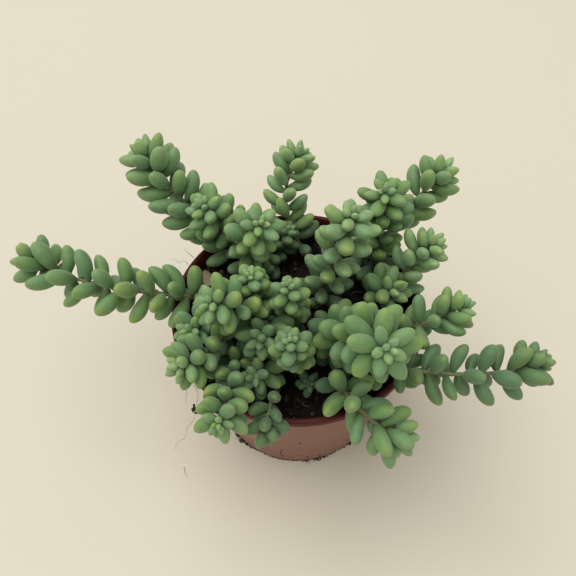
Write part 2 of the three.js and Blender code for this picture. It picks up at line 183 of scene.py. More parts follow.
def add_node(tree, kind, inputs=None, **settings):
    """A new shader node with its inputs and settings."""
    node = tree.nodes.new("ShaderNode" + kind)
    for setting, value in settings.items():
        setattr(node, setting, value)
    set_inputs(tree, node, inputs or {})
    return node


def lay_colours(tree, base, layers):
    """A base colour with others laid over it in turn, each given with the share of it that shows."""
    colour = linear(base)
    for share, hex_colour in layers:
        laid = add_node(tree, "MixRGB", {"Fac": share, "Color1": colour, "Color2": linear(hex_colour)})
        colour = laid.outputs["Color"]
    return colour


def start_material(name):
    """A new material with its node tree, its Principled shader and its Object coordinates."""
    material = bpy.data.materials.new(name)
    material.use_nodes = True
    tree = material.node_tree
    places = add_node(tree, "TexCoord").outputs["Object"]
    return material, tree, tree.nodes["Principled BSDF"], places


# Moulded polypropylene, clean: a smooth dark red skin with a soft gloss, which shows on the lip and inside.
clean_plastic, tree, skin, places = start_material("moulded polypropylene clean")
cloudy = add_node(tree, "TexNoise", {"Vector": places, "Scale": 1 / (9 * MM), "Detail": 3})
depth = add_node(tree, "SeparateXYZ", {"Vector": places})
# Painted shade: from 2 mm below the rim downwards the red is darkened towards near black, on the lip's lower
# part and inside the pot.
painted_shade_inside = add_node(tree, "MapRange", {
    "Value": depth.outputs["Z"],
    "From Min": (POT_HEIGHT - 2) * MM,
    "From Max": (POT_HEIGHT - 7) * MM,
    "To Max": 0.85,
})
red = lay_colours(tree, "#44140e", [
    (cloudy.outputs["Fac"], "#531d15"),
    (painted_shade_inside.outputs["Result"], "#260b08"),
])
gloss = add_node(tree, "MapRange", {"Value": cloudy.outputs["Fac"], "To Min": 0.42, "To Max": 0.58})
set_inputs(tree, skin, {
    "Base Color": red,
    "Roughness": gloss.outputs["Result"],
    "IOR": 1.49,
    "Specular IOR Level": 0.22,
    "Subsurface Weight": 0.08,
    "Subsurface Radius": (1, 0.2, 0.1),
    "Subsurface Scale": 1.2 * MM,
})

# Moulded polypropylene, handled: a film of dry soil dust dulls the red to a pinkish brown. Fine scratches run
# round the wall, with paler scuffs, and darker smears of soil near the foot. The real scratches are about
# 0.1 mm wide and are drawn 0.5 mm wide so that they show. One patch at the front left is scraped pale.
SCUFFED_PATCH = Vector((-24, -46, 40))
dusty_plastic, tree, skin, places = start_material("moulded polypropylene dusty")
stretched = add_node(tree, "Mapping", {
    "Vector": places,
    "Scale": (1 / (28 * MM), 1 / (28 * MM), 1 / (0.9 * MM)),
})
scratches = add_node(tree, "TexNoise", {
    "Vector": stretched.outputs["Vector"],
    "Scale": 1,
    "Detail": 5,
    "Roughness": 0.65,
})
dust = add_node(tree, "TexNoise", {"Vector": places, "Scale": 1 / (14 * MM), "Detail": 6, "Roughness": 0.6})
grit = add_node(tree, "TexNoise", {"Vector": places, "Scale": 1 / (1.1 * MM), "Detail": 4, "Roughness": 0.7})
dust_film = add_node(tree, "MapRange", {
    "Value": dust.outputs["Fac"],
    "From Min": 0.3,
    "From Max": 0.7,
    "To Max": 0.5,
})
scuffed = add_node(tree, "MapRange", {
    "Value": scratches.outputs["Fac"],
    "From Min": 0.56,
    "From Max": 0.78,
    "To Max": 0.45,
})
lined = add_node(tree, "MapRange", {
    "Value": scratches.outputs["Fac"],
    "From Min": 0.46,
    "From Max": 0.3,
    "To Max": 0.4,
})
height = add_node(tree, "SeparateXYZ", {"Vector": places})
low = add_node(tree, "MapRange", {
    "Value": height.outputs["Z"],
    "From Min": 16 * MM,
    "From Max": 0,
    "To Min": -0.12,
    "To Max": 0.12,
})
soiled = add_node(tree, "Math", {0: grit.outputs["Fac"], 1: low.outputs["Result"]}, operation="ADD")
smear = add_node(tree, "MapRange", {
    "Value": soiled.outputs["Value"],
    "From Min": 0.6,
    "From Max": 0.72,
    "To Max": 0.7,
})
from_patch = add_node(tree, "VectorMath", {0: places, 1: SCUFFED_PATCH * MM}, operation="DISTANCE")
in_patch = add_node(tree, "MapRange", {
    "Value": from_patch.outputs["Value"],
    "From Min": 15 * MM,
    "From Max": 5 * MM,
})
slanted = add_node(tree, "Mapping", {
    "Vector": places,
    "Rotation": (0, math.radians(28), 0),
    "Scale": (1 / (9 * MM), 1 / (9 * MM), 1 / (0.7 * MM)),
})
scrapes = add_node(tree, "TexNoise", {"Vector": slanted.outputs["Vector"], "Scale": 1, "Detail": 4})
scrape_share = add_node(tree, "MapRange", {
    "Value": scrapes.outputs["Fac"],
    "From Min": 0.5,
    "From Max": 0.62,
    "To Max": 0.6,
})
scraped = add_node(tree, "Math", {
    0: scrape_share.outputs["Result"],
    1: in_patch.outputs["Result"],
}, operation="MULTIPLY")
handled_red = lay_colours(tree, "#865a4b", [
    (dust_film.outputs["Result"], "#966d5e"),
    (scuffed.outputs["Result"], "#b89a8b"),
    (lined.outputs["Result"], "#7c4638"),
    (smear.outputs["Result"], "#3d2a22"),
    (scraped.outputs["Value"], "#cda898"),
])
dull = add_node(tree, "MapRange", {"Value": dust.outputs["Fac"], "To Min": 0.5, "To Max": 0.72})
relief = add_node(tree, "Bump", {
    "Height": scratches.outputs["Fac"],
    "Strength": 0.25,
    "Distance": 0.12 * MM,
})
set_inputs(tree, skin, {
    "Base Color": handled_red,
    "Roughness": dull.outputs["Result"],
    "Normal": relief.outputs["Normal"],
    "IOR": 1.49,
})

pot.data.materials.append(clean_plastic)
pot.data.materials.append(dusty_plastic)
for face in pot.data.polygons:
    centre = face.center / MM
    outside = centre.xy.length > pot_radius(centre.z) - 0.3 and centre.z < lip_bottom + 0.2
    under = face.normal.z < -0.5 and centre.z < pot_floor
    face.material_index = 1 if outside or under else 0


def smooth_up_to(angle, piece):
    """Shades a piece smooth, apart from edges that are sharper than the angle, in degrees."""
    bpy.ops.object.select_all(action="DESELECT")
    piece.select_set(True)
    bpy.context.view_layer.objects.active = piece
    bpy.ops.object.shade_smooth_by_angle(angle=math.radians(angle))


smooth_up_to(35, pot)
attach(pot, "root")
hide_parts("pot")


# The potting soil: peat and composted bark pressed into the pot to 12 mm below the rim. Its top is uneven and
# open, nearly black where it is damp, with brown crumbs and slivers of bark lying on it.
GAP = 0.3
SOIL_TOP = 72
SOIL_BUMPS = 1.4
SOIL_SIDES = 132
SOIL_RINGS = 46
HEAP_HEIGHT = 5
HEAP_WAY = math.radians(157.5)
HEAP_FLAT = math.radians(8.5)
HEAP_END = math.radians(22.5)
HEAP_START = 40
HEAP_TOP = 46


def heap_height(x, y):
    """The height of the heap of soil against the wall at the back left, in mm."""
    outward = (np.hypot(x, y) - HEAP_START) / (HEAP_TOP - HEAP_START)
    across = (HEAP_END - abs(np.arctan2(y, x) - HEAP_WAY)) / (HEAP_END - HEAP_FLAT)
    return HEAP_HEIGHT * np.clip(outward, 0, 1) * np.clip(across, 0, 1)


def soil_height(x, y):
    """The height of the soil's shallow waves and its heap, in mm."""
    waves = 1 - np.sin(x * 0.21 + 1) * np.cos(y * 0.17)
    return SOIL_TOP - SOIL_BUMPS / 2 * waves - 0.3 * (1 + np.sin(x * 0.07 - y * 0.11)) + heap_height(x, y)


def lay_soil():
    """The body of soil: a turned block whose top follows the waves."""
    floor = pot_floor + GAP
    edge = pot_radius(SOIL_TOP - 2) - POT_WALL - GAP
    rings = [(edge * (1 - ring / SOIL_RINGS), SOIL_TOP) for ring in range(SOIL_RINGS)]
    sides = [(pot_radius(height) - POT_WALL - GAP, height) for height in (floor, 30, SOIL_TOP - 3)]
    body = turn_up("potting_soil", [(CAP_RADIUS, floor), *sides, *rings], SOIL_SIDES)
    for vertex in body.data.vertices:
        x, y, z = vertex.co / MM
        if z > SOIL_TOP - 1:
            vertex.co.z = soil_height(x, y) * MM
    return body


def crumble(piece, lump_size, depth):
    """Pushes the surface in and out by a clouded relief, in mm."""
    clouds = bpy.data.textures.new("crumbs", "CLOUDS")
    clouds.noise_scale = lump_size * MM
    clouds.noise_depth = 3
    apply_modifier(piece, "DISPLACE", texture=clouds, strength=depth * MM, mid_level=0.55)


soil = lay_soil()
crumble(soil, lump_size=5, depth=2.2)
crumble(soil, lump_size=1.6, depth=1.6)
smooth_up_to(50, soil)

# Damp peat and bark: matt and nearly black, in crumbs of about 2 mm with paler specks. A loose crumb that has
# dried is browner, which its tone says.
peat, tree, skin, places = start_material("damp peat and bark")
lumps = add_node(tree, "TexVoronoi", {"Vector": places, "Scale": 1 / (2.2 * MM)})
specks = add_node(tree, "TexNoise", {
    "Vector": places,
    "Scale": 1 / (0.9 * MM),
    "Detail": 5,
    "Roughness": 0.7,
})
tone = add_node(tree, "Attribute", attribute_name="tone")
speck_share = add_node(tree, "MapRange", {
    "Value": specks.outputs["Fac"],
    "From Min": 0.5,
    "From Max": 0.75,
    "To Max": 0.35,
})
# Painted shade: the soil is darker where its lumps meet, in the gaps between them.
painted_shade_between_lumps = add_node(tree, "MapRange", {
    "Value": lumps.outputs["Distance"],
    "From Min": 0.35,
    "From Max": 0.75,
    "To Max": 0.6,
})
black_brown = lay_colours(tree, "#130e0b", [
    (tone.outputs["Fac"], "#6e5642"),
    (speck_share.outputs["Result"], "#433326"),
    (painted_shade_between_lumps.outputs["Result"], "#0d0907"),
])
wet = add_node(tree, "MapRange", {"Value": specks.outputs["Fac"], "To Min": 0.95, "To Max": 0.6})
relief = add_node(tree, "Bump", {"Height": specks.outputs["Fac"], "Strength": 0.6, "Distance": 0.5 * MM})
set_inputs(tree, skin, {
    "Base Color": black_brown,
    "Roughness": wet.outputs["Result"],
    "Normal": relief.outputs["Normal"],
    "Specular IOR Level": 0.2,
})


def mark_points(piece, **values):
    """Stores a number, or one number for each vertex, under each name, for the materials to read."""
    count = len(piece.data.vertices)
    for name, value in values.items():
        attribute = piece.data.attributes.get(name) or piece.data.attributes.new(name, "FLOAT", "POINT")
        attribute.data.foreach_set("value", np.broadcast_to(value, count).astype(np.float32))


mark_points(soil, tone=0.02)
soil.data.materials.append(peat)
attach(soil, "root")
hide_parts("soil")


def draws(seed):
    """A repeatable random draw from 0 to 1."""
    state = seed * 7919 + 17

    def draw():
        nonlocal state
        state = state * 16807 % 2147483647
        return state / 2147483647

    return draw


def copy_of(model, places):
    """A copy of a model with its own mesh, its vertices moved to the places, in mm."""
    copy = model.copy()
    copy.data = model.data.copy()
    copy.data.vertices.foreach_set("co", (places * MM).astype(np.float32).ravel())
    bpy.context.scene.collection.objects.link(copy)
    return copy


def places_of(model):
    """The vertices of a model as rows of x, y, z."""
    found = np.empty(len(model.data.vertices) * 3, dtype=np.float32)
    model.data.vertices.foreach_get("co", found)
    return found.reshape(-1, 3).astype(float)


def join(copies, name):
    """Joins the copies in one piece."""
    bpy.ops.object.select_all(action="DESELECT")
    for copy in copies:
        copy.select_set(True)
    bpy.context.view_layer.objects.active = copies[0]
    bpy.ops.object.join()
    piece = bpy.context.object
    piece.name = piece.data.name = name
    return piece


def turned_about(draw):
    """A random turn as a matrix of three rows."""
    turns = Matrix.Rotation(2 * math.pi * draw(), 3, "X") @ Matrix.Rotation(2 * math.pi * draw(), 3, "Y")
    return np.array(turns @ Matrix.Rotation(2 * math.pi * draw(), 3, "Z"))


ABOVE_TABLE = 0.02


def scatter(name, model, count, draw, spot, darkness=2.2):
    """Copies of a crumb, each squashed, turned and set down where spot(draw) says, with its own tone of
    brown. The greater the darkness, the fewer are pale."""
    shape = places_of(model)
    crumbs = []
    for _ in range(count):
        place, size = spot(draw)
        squash = np.array([1, 0.6 + 0.4 * draw(), 0.45 + 0.4 * draw()]) * size
        dents = 1 + 0.35 * (np.array([draw() for _ in shape]) - 0.5)[:, None]
        laid = (shape * dents * squash) @ turned_about(draw).T + place
        laid[:, 2] = np.maximum(laid[:, 2], ABOVE_TABLE)
        crumb = copy_of(model, laid)
        mark_points(crumb, tone=draw() ** darkness)
        crumbs.append(crumb)
    pieces = join(crumbs, name)
    pieces.data.materials.append(peat)
    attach(pieces, "root")
    return pieces


# Crumbs of peat and bark that lie loose on the soil and its heap, 1 to 5 mm across, half sunk in it. The dry
# leaf lies on some of them and has pressed them down.
SOIL_CRUMBS = 1500
HEAP_CRUMBS = 170
DRY_PLACE = (-45.5, 21.5)
PRESSED_RADIUS = 6.5
PRESSED_DEPTH = 2.5
bpy.ops.mesh.primitive_ico_sphere_add(subdivisions=1, radius=1)
crumb_model = bpy.context.object


def crumb_height(x, y, size):
    """How high a crumb lies. Those under the dry leaf are pressed into the soil."""
    pressed = math.dist((x, y), DRY_PLACE) < PRESSED_RADIUS
    return soil_height(x, y) + 0.15 * size - PRESSED_DEPTH * pressed


def on_soil(draw):
    """A place on the soil and a size, with most crumbs small."""
    out = (pot_radius(SOIL_TOP) - POT_WALL - 1.6) * math.sqrt(draw())
    way = 2 * math.pi * draw()
    size = 0.6 + 1.8 * draw() ** 3
    x, y = out * math.cos(way), out * math.sin(way)
    return np.array([x, y, crumb_height(x, y, size)]), size


scatter("soil_crumbs", crumb_model, SOIL_CRUMBS, draws(101), on_soil, darkness=4.5)


def on_heap(draw):
    """A place on the heap against the wall, up to the wall itself."""
    out = HEAP_START + 2 + 14 * draw()
    way = HEAP_WAY + 1.6 * HEAP_FLAT * (2 * draw() - 1)
    size = 0.7 + 1.6 * draw() ** 2
    x, y = out * math.cos(way), out * math.sin(way)
    lift = 1.2 * draw() * min(1, max(0, (out - 50) / 5))
    return np.array([x, y, crumb_height(x, y, size) + lift]), size


scatter("heap_crumbs", crumb_model, HEAP_CRUMBS, draws(105), on_heap, darkness=1.6)

# Slivers of bark on the soil, flat and long, 3 to 7 mm.
BARK_SLIVERS = 90
bpy.ops.mesh.primitive_cube_add(size=2)
sliver_model = bpy.context.object
bpy.ops.object.mode_set(mode="EDIT")
bpy.ops.mesh.select_all(action="SELECT")
bpy.ops.transform.resize(value=(2.4, 0.6, 0.3), center_override=(0, 0, 0))
bpy.ops.mesh.subdivide(number_cuts=1)
bpy.ops.object.mode_set(mode="OBJECT")


def lying_flat(draw):
    """A place on the soil for a sliver of bark."""
    place, _ = on_soil(draw)
    return place + np.array([0, 0, 0.3]), 0.7 + 0.7 * draw()


scatter("bark_slivers", sliver_model, BARK_SLIVERS, draws(103), lying_flat, darkness=3.5)

# Soil that has stuck to the pot: a ragged ring of crumbs where its foot meets the table, thick in some
# stretches and thin in others, and specks on the wall.
FOOT_CRUMBS = 1100
WALL_SPECKS = 110


def at_foot(draw):
    """A place against the foot, on the table, and a size. The thicker the ring is there, the larger."""
    way = 2 * math.pi * draw()
    thick = (0.5 + 0.5 * math.sin(5 * way + 1)) * (0.5 + 0.5 * math.sin(13 * way))
    size = (0.2 + 0.55 * draw() ** 3) * (0.75 + 0.8 * thick)
    out = BASE_RADIUS - 0.1 + (0.5 + 1.6 * thick) * draw() ** 2
    height = size * (0.5 + (0.5 + 1.5 * thick) * draw() ** 2)
    return np.array([out * math.cos(way), out * math.sin(way), height]), size


scatter("foot_crumbs", crumb_model, FOOT_CRUMBS, draws(107), at_foot)


def on_wall(draw):
    """A place on the outside of the pot, mostly low down."""
    size = 0.22 + 0.4 * draw() ** 2
    height = 1.5 + 60 * draw() ** 3
    out = pot_radius(height) + 0.1 * size
    way = 2 * math.pi * draw()
    return np.array([out * math.cos(way), out * math.sin(way), height]), size


scatter("wall_specks", crumb_model, WALL_SPECKS, draws(109), on_wall)


def draw_tube(name, points, radii, smoothness, sides=3, handles=None):
    """A tube through the points in mm: a bezier curve with a round section, made a mesh."""
    bpy.ops.curve.primitive_bezier_curve_add()
    tube = bpy.context.object
    curve = tube.data
    curve.dimensions = "3D"
    curve.resolution_u = smoothness
    curve.bevel_depth = MM
    curve.bevel_resolution = sides
    curve.use_fill_caps = True
    curve.splines[0].bezier_points.add(len(points) - 2)
    for index, knot in enumerate(curve.splines[0].bezier_points):
        knot.co = Vector(points[index]) * MM
        knot.radius = radii[index]
        knot.handle_left_type = knot.handle_right_type = "FREE" if handles else "AUTO"
        if handles:
            knot.handle_left = Vector(handles[index][0]) * MM
            knot.handle_right = Vector(handles[index][1]) * MM
    bpy.ops.object.select_all(action="DESELECT")
    tube.select_set(True)
    bpy.ops.object.convert(target="MESH")
    tube = bpy.context.object
    tube.name = tube.data.name = name
    return tube


# Fine dry roots. Some have crept over the rim and dangle outside, the longest down to the table with crumbs
# of soil caught in it. Short ends lie on the soil in the pot and stick out of the soil round its foot.
ROOT_RADII = (0.16, 0.09, 0.05)
CAUGHT_PLACE = (-49.1, -39.5, 54)
CAUGHT_SPREAD = (2.6, 2.6, 5)
CAUGHT_CRUMBS = 26
ROOT_END_RADIUS = 0.14
ENDS_IN_SOIL = 50
ENDS_AT_FOOT = 34

# Dry root: matt and brown, paler in places.
dry_root, tree, skin, places = start_material("dry rootlets")
root_tones = add_node(tree, "TexNoise", {"Vector": places, "Scale": 1 / (3 * MM), "Detail": 2})
root_brown = lay_colours(tree, "#5c4636", [(root_tones.outputs["Fac"], "#9c846c")])
set_inputs(tree, skin, {"Base Color": root_brown, "Roughness": 0.85})
DANGLING_ROOTS = {
    "root_to_table": [
        (-47.3, -38.5, 84.2), (-46.5, -38.6, 76), (-46.1, -38.1, 66), CAUGHT_PLACE, (-50.7, -40.6, 45),
        (-55.9, -39.4, 32), (-59.6, -39.3, 18), (-64.9, -37.6, 8), (-68.3, -39.2, 0.3),
    ],
    "root_over_rim": [
        (-48.5, -36.6, 84.4), (-49.3, -36, 80), (-50.7, -35.1, 72), (-53.2, -34.6, 58), (-55.5, -33.6, 46),
    ],
    "root_at_back": [
        (-54.6, 24.6, 84.5), (-57.2, 26.2, 85.6), (-59.6, 25.6, 85), (-61.9, 27, 85.7), (-64, 26.2, 86),
    ],
    "root_behind": [(-52.6, 29.2, 84.6), (-55.2, 29.6, 88), (-57.5, 31.8, 89)],
    "root_on_table": [(-61.5, -48.4, 0.2), (-60.8, -51, 0.2), (-59, -53.8, 0.2)],
}
thick, middle, thin = ROOT_RADII
dangling = []
for name, knots in DANGLING_ROOTS.items():
    radii = [thick, *[middle] * (len(knots) - 2), thin]
    dangling.append(draw_tube(name, knots, radii, smoothness=6, sides=1))
dangling_roots = join(dangling, "dangling_roots")
dangling_roots.data.materials.append(dry_root)
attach(dangling_roots, "root")


def in_root(draw):
    """A place in the clump of crumbs that the longest root has caught, and a size."""
    offset = np.array([draw(), draw(), draw()]) - 0.5
    return np.array(CAUGHT_PLACE) + offset * CAUGHT_SPREAD, 0.4 + 0.7 * draw() ** 2


scatter("caught_crumbs", crumb_model, CAUGHT_CRUMBS, draws(113), in_root)

root_end_model = draw_tube(
    "root_end",
    [(-3, 0, 0), (-0.8, 0.7, 0.5), (1, -0.3, 1), (3, 0.5, 0.2)],
    [ROOT_END_RADIUS, ROOT_END_RADIUS, ROOT_END_RADIUS * 0.8, ROOT_END_RADIUS * 0.5],
    smoothness=3,
    sides=0,
)


def lay_root_ends(name, count, draw, spot):
    """Copies of the short end of root, each stretched, turned and tilted, set down where spot(draw) says."""
    shape = places_of(root_end_model) / MM
    ends = []
    for _ in range(count):
        place, stretch, turn, tilt = spot(draw)
        turned = Matrix.Rotation(turn, 3, "Z") @ Matrix.Rotation(tilt, 3, "Y")
        laid = (shape * (stretch, 1, 1)) @ np.array(turned).T + place
        laid[:, 2] = np.maximum(laid[:, 2], ABOVE_TABLE)
        ends.append(copy_of(root_end_model, laid))
    pieces = join(ends, name)
    pieces.data.materials.append(dry_root)
    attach(pieces, "root")


def root_in_soil(draw):
    """A place on the soil for an end of root, lying at any turn."""
    place, _ = on_soil(draw)
    return place + np.array([0, 0, 0.4]), 0.6 + 0.9 * draw(), 2 * math.pi * draw(), 0.6 * (draw() - 0.5)


def root_at_foot(draw):
    """A place at the foot for an end of root, lying outwards on the table."""
    way = 2 * math.pi * draw()
    out = BASE_RADIUS + 0.8 + 0.8 * draw()
    turn = way + 1.8 * (draw() - 0.5)
    return np.array([out * math.cos(way), out * math.sin(way), 0.3]), 0.3 + 0.4 * draw(), turn, -0.3 * draw()


lay_root_ends("root_ends_in_soil", ENDS_IN_SOIL, draws(127), root_in_soil)
lay_root_ends("root_ends_at_foot", ENDS_AT_FOOT, draws(131), root_at_foot)
bpy.data.objects.remove(root_end_model)
bpy.data.objects.remove(crumb_model)
bpy.data.objects.remove(sliver_model)


# The living stems: 27 trailing shoots of a burro's tail. Each is a soft round stem, rooted in the soil and
# bare at its foot, with plump leaves set round it in a spiral, small and closed at the growing tip.
STEM_RADIUS = 1.4
STEM_START = SOIL_TOP + 0.8
FOOT_DEPTH = 6
GREEN_FROM = 60
BARE_FOOT = 10
SHADED_FOOT = 3
SHORT_STEM = 40
GOLDEN_ANGLE = math.radians(137.508)
ROSETTE_BUD = 0.3
BUD_ANGLE = 7
GROWING_LEAVES = 12
CROWDED_LEAVES = 16
YOUNG_PLUMPNESS = 0.35
GROWN_SLIMMER = 0.1
ROUND_KIND = 10
ROUNDER = 1.2
PATH_SAMPLES = 120

# Each stem: the four control points of its curve, the first on the soil, the length of a grown leaf, the
# distance along the stem from leaf to leaf, the number of leaves, the angle in degrees that grown leaves open
# to, the seed of its draws, and the size of its youngest leaves as a share of a grown one. Where these are
# large, the tip is a loose fan.
STEMS = {
    "left_trailing": ([-38, 8], [-49, -4, 104], [-91, -7, 97], [-127, 17, 99], 15.5, 2.3, 46, 78, 3, 0.5),
    "back_left": ([-28, 34], [-38, 38, 100], [-58, 40, 110], [-73, 58, 127], 16.5, 2, 46, 78, 5, 0.55),
    "back_left_inner": ([-20, 24], [-28, 26, 94], [-22, 18, 110], [-16, 11, 130], 13, 1.9, 44, 80, 7, 0.3),
    "back_left_low": ([-14, 34], [-22, 38, 92], [-36, 34, 102], [-44, 32, 119], 13.5, 2, 38, 80, 9, 0.4),
    "back_middle": ([3, 44], [-8, 50, 92], [-10, 60, 102], [1, 70, 117], 13, 2.1, 40, 74, 11, 0.5),
    "centre_tall": ([10, 6], [14, 10, 96], [17, 6, 112], [23, 8, 138], 13.5, 1.9, 48, 80, 13, 0.35),
    "back_right_long": ([26, 28], [34, 34, 98], [52, 34, 112], [68, 48, 125], 14.6, 2.3, 40, 76, 15, 0.5),
    "back_right_short": ([34, 22], [40, 26, 100], [42, 32, 112], [38, 26, 134], 13, 1.8, 36, 78, 17, 0.33),
    "right_upper": ([44, 4], [46, 6, 92], [52, 12, 104], [61, 13, 114], 12.5, 2.1, 34, 75, 19, 0.5),
    "right_upper_low": (
        [41, -12], [50, -22, 100], [58, -24, 106], [69, -18, 110], 12.5, 2.1, 38, 75, 21, 0.5,
    ),
    "right_trailing": ([34, -26], [42, -46, 107], [75, -50, 97], [100, -39, 100], 13, 2.4, 44, 80, 23, 0.5),
    "big_rosette": ([18, -14], [16, -20, 100], [29, -39, 115], [33, -51, 129], 15.5, 1.6, 60, 86, 25, 0.3),
    "front_right": ([20, -34], [16, -50, 98], [26, -66, 100], [42, -68, 87], 13.4, 2.2, 38, 78, 27, 0.5),
    "front_left": ([-25, -17], [-26, -32, 96], [-29, -58, 97], [-30, -70, 105], 12, 1.75, 52, 82, 29, 0.3),
    "left_low": ([-34, -8], [-32, -22, 94], [-36, -40, 104], [-47, -47, 108], 12.6, 1.9, 36, 78, 31, 0.5),
    "left_rosette": ([-20, 0], [-15, -12, 99], [-22, -24, 118], [-35, -29, 127], 12.6, 1.7, 54, 84, 33, 0.3),
    "left_small": ([-40, -4], [-41, -11, 86], [-42, -21, 96], [-46, -27, 102], 11, 1.8, 22, 76, 35, 0.5),
    "small_back": ([-16, 12], [-18, 3, 90], [-20, -12, 106], [-20, -12, 123], 8.6, 1.5, 32, 78, 37, 0.36),
    "small_middle": ([-2, 6], [-2, -6, 90], [-3, -22, 108], [-4, -20, 127], 8.6, 1.6, 34, 78, 39, 0.36),
    "small_front": ([2, -14], [2, -26, 88], [-1, -46, 106], [-3, -45, 126], 8.6, 1.6, 34, 78, 41, 0.36),
    "thin_hanging": ([-9, -38], [-9, -48, 91], [-13, -61, 100], [-12, -67, 87], 9, 2.2, 17, 60, 43, 0.5),
    "right_inner": ([34, 4], [35, 2, 84], [38, 0, 94], [43, -2, 100], 13, 2.4, 14, 84, 45, 0.6),
    "soil_sprout": ([6, -36], [6, -37, 76], [5, -39, 80], [5, -41, 83], 6.2, 1.3, 12, 72, 47, 0.3),
    "back_sprout": ([-10, 39], [-10, 40, 80], [-9, 41, 86], [-5, 42, 91], 9, 1.6, 14, 65, 49, 0.5),
    "front_inner": ([-20, -30], [-18, -33, 82], [-15, -38, 89], [-18, -44, 95], 12.5, 1.9, 30, 78, 51, 0.5),
    "left_middle": ([-8, -12], [-10, -15, 88], [-13, -22, 100], [-15, -34, 108], 13, 1.9, 40, 80, 55, 0.5),
    "left_inner": ([-30, 14], [-33, 4, 84], [-36, -2, 90], [-41, -7, 97], 11, 2, 22, 78, 53, 0.5),
}

# How many small leaves more the crowded stems in the middle keep in the shade below their grown ones.
SHADED_LEAVES = {
    "back_left_inner": 20, "back_left_low": 10, "centre_tall": 16, "back_right_short": 12, "small_back": 16,
    "small_middle": 16, "small_front": 10, "left_middle": 8, "left_rosette": 8, "big_rosette": 8,
    "back_sprout": 14, "back_middle": 14, "left_inner": 8,
}


def ease(share):
    """A ramp from 0 to 1 with soft ends."""
    return share * share * (3 - 2 * share)


def unit(vectors):
    """The vectors, each at length 1."""
    return vectors / np.linalg.norm(vectors, axis=-1, keepdims=True)


def stem_points(stem):
    """The control points of a stem's curve as rows."""
    return np.array([[*stem[0], STEM_START], *stem[1:4]], dtype=float)


def on_curve(points, t):
    """The place on a cubic curve at a parameter or a column of them."""
    s = 1 - t
    return s**3 * points[0] + 3 * s * s * t * points[1] + 3 * s * t * t * points[2] + t**3 * points[3]


def stem_path(points):
    """The curve's samples and their distance from the soil."""
    samples = on_curve(points, np.linspace(0, 1, PATH_SAMPLES + 1)[:, None])
    steps = np.linalg.norm(np.diff(samples, axis=0), axis=1)
    return samples, np.concatenate([[0], np.cumsum(steps)])


def grow_leaves(name, stem, index):
    """The leaves of a stem from the tip downwards: the stem's index, the leaf's root, the stem's aim there,
    the leaf's aim, its length, half width and bend, how far it has grown, and whether it is a shaded one.
    Their spacing, turn, angle, length and bend vary a little from leaf to leaf."""
    leaf_length, spacing, count, opening, seed, bud_size = stem[4:]
    points = stem_points(stem)
    _, along = stem_path(points)
    total = along[-1]
    draw = draws(seed)
    side = unit(np.cross([0, 0, 1], points[3] - points[0]))
    ramp = min(GROWING_LEAVES, count / 2 + 2)
    opening_ramp = ramp * bud_size / ROSETTE_BUD
    leaves = []
    from_tip = 0
    turn = 2 * math.pi * draw()
    for place in range(count + SHADED_LEAVES.get(name, 0)):
        crowding = 0.1 + 0.9 * min(1, place / CROWDED_LEAVES) ** 1.5
        from_tip += spacing * crowding * (0.85 + 0.3 * draw())
        turn += GOLDEN_ANGLE + 0.25 * (draw() - 0.5)
        shaded = place >= count or total - from_tip < BARE_FOOT * min(1, total / SHORT_STEM)
        if total - from_tip < SHADED_FOOT or shaded and name not in SHADED_LEAVES:
            break
        t = np.interp(total - from_tip, along, np.arange(PATH_SAMPLES + 1)) / PATH_SAMPLES
        grown = ease(min(1, place / ramp))
        size = bud_size + (1 - bud_size) * grown
        opened = ease(min(1, place / opening_ramp))
        angle = math.radians(BUD_ANGLE + (opening - BUD_ANGLE) * opened + 12 * opened * (draw() - 0.5))
        length = leaf_length * size * (0.9 + 0.2 * draw())
        stem_aim = unit(on_curve(points, t + 1e-4) - on_curve(points, t - 1e-4))
        u = unit(side - side.dot(stem_aim) * stem_aim)
        outward = math.cos(turn) * u + math.sin(turn) * np.cross(stem_aim, u)
        aim = math.cos(angle) * stem_aim + math.sin(angle) * outward
        plumpness = YOUNG_PLUMPNESS - GROWN_SLIMMER * size
        half_width = length * plumpness * (ROUNDER if leaf_length < ROUND_KIND else 1)
        bend = 0.1 + 0.12 * draw()
        leaves.append((index, on_curve(points, t), stem_aim, aim, length, half_width, bend, grown, shaded))
    return leaves


all_leaves = []
for index, (name, stem) in enumerate(STEMS.items()):
    all_leaves += grow_leaves(name, stem, index)
columns = [np.array(column) for column in zip(*all_leaves)]
leaf_stem, root, stem_aim, first_aim, length, half_width, bend, grown, shaded = columns
leaf_count = len(root)
aim = first_aim.copy()
share = np.ones(leaf_count)

# Growing leaves make room for each other. Each is stood in for by four balls, as [place along the leaf, share
# of its half width], which turn it aside from its neighbours, the other stems, the soil and the pot. A shaded
# leaf gives way to the grown ones, and they don't give way to it.
BALLS = np.array([[0.24, 0.74], [0.44, 0.98], [0.64, 1.0], [0.84, 0.74]])
LEAF_GAP = 0.55
SAME_STEM_REACH = 0.9
DEEP = 0.2
ROUNDS = 60
TURNING = 0.6
MOST_TURN = math.radians(50)
SHRINK = 0.94
SHRINKS = 14
SMALLEST_SHARE = 0.5


def curls():
    """The direction in which each leaf curves: back towards the stem's tip."""
    return unit(stem_aim - np.sum(stem_aim * aim, axis=1)[:, None] * aim)


def leaf_balls():
    """The centre and radius of each leaf's balls, and their distance from its root."""
    arm = BALLS[:, 0] * (length * share)[:, None]
    reach = bend[:, None] * BALLS[:, 0] * arm
    centre = root[:, None] + arm[..., None] * aim[:, None] + reach[..., None] * curls()[:, None]
    return centre, BALLS[:, 1] * (half_width * share)[:, None], arm


def summed(pushes, owners):
    """The pushes of each leaf, added up."""
    return np.stack([np.bincount(owners, pushes[:, axis], leaf_count) for axis in range(3)], axis=1)


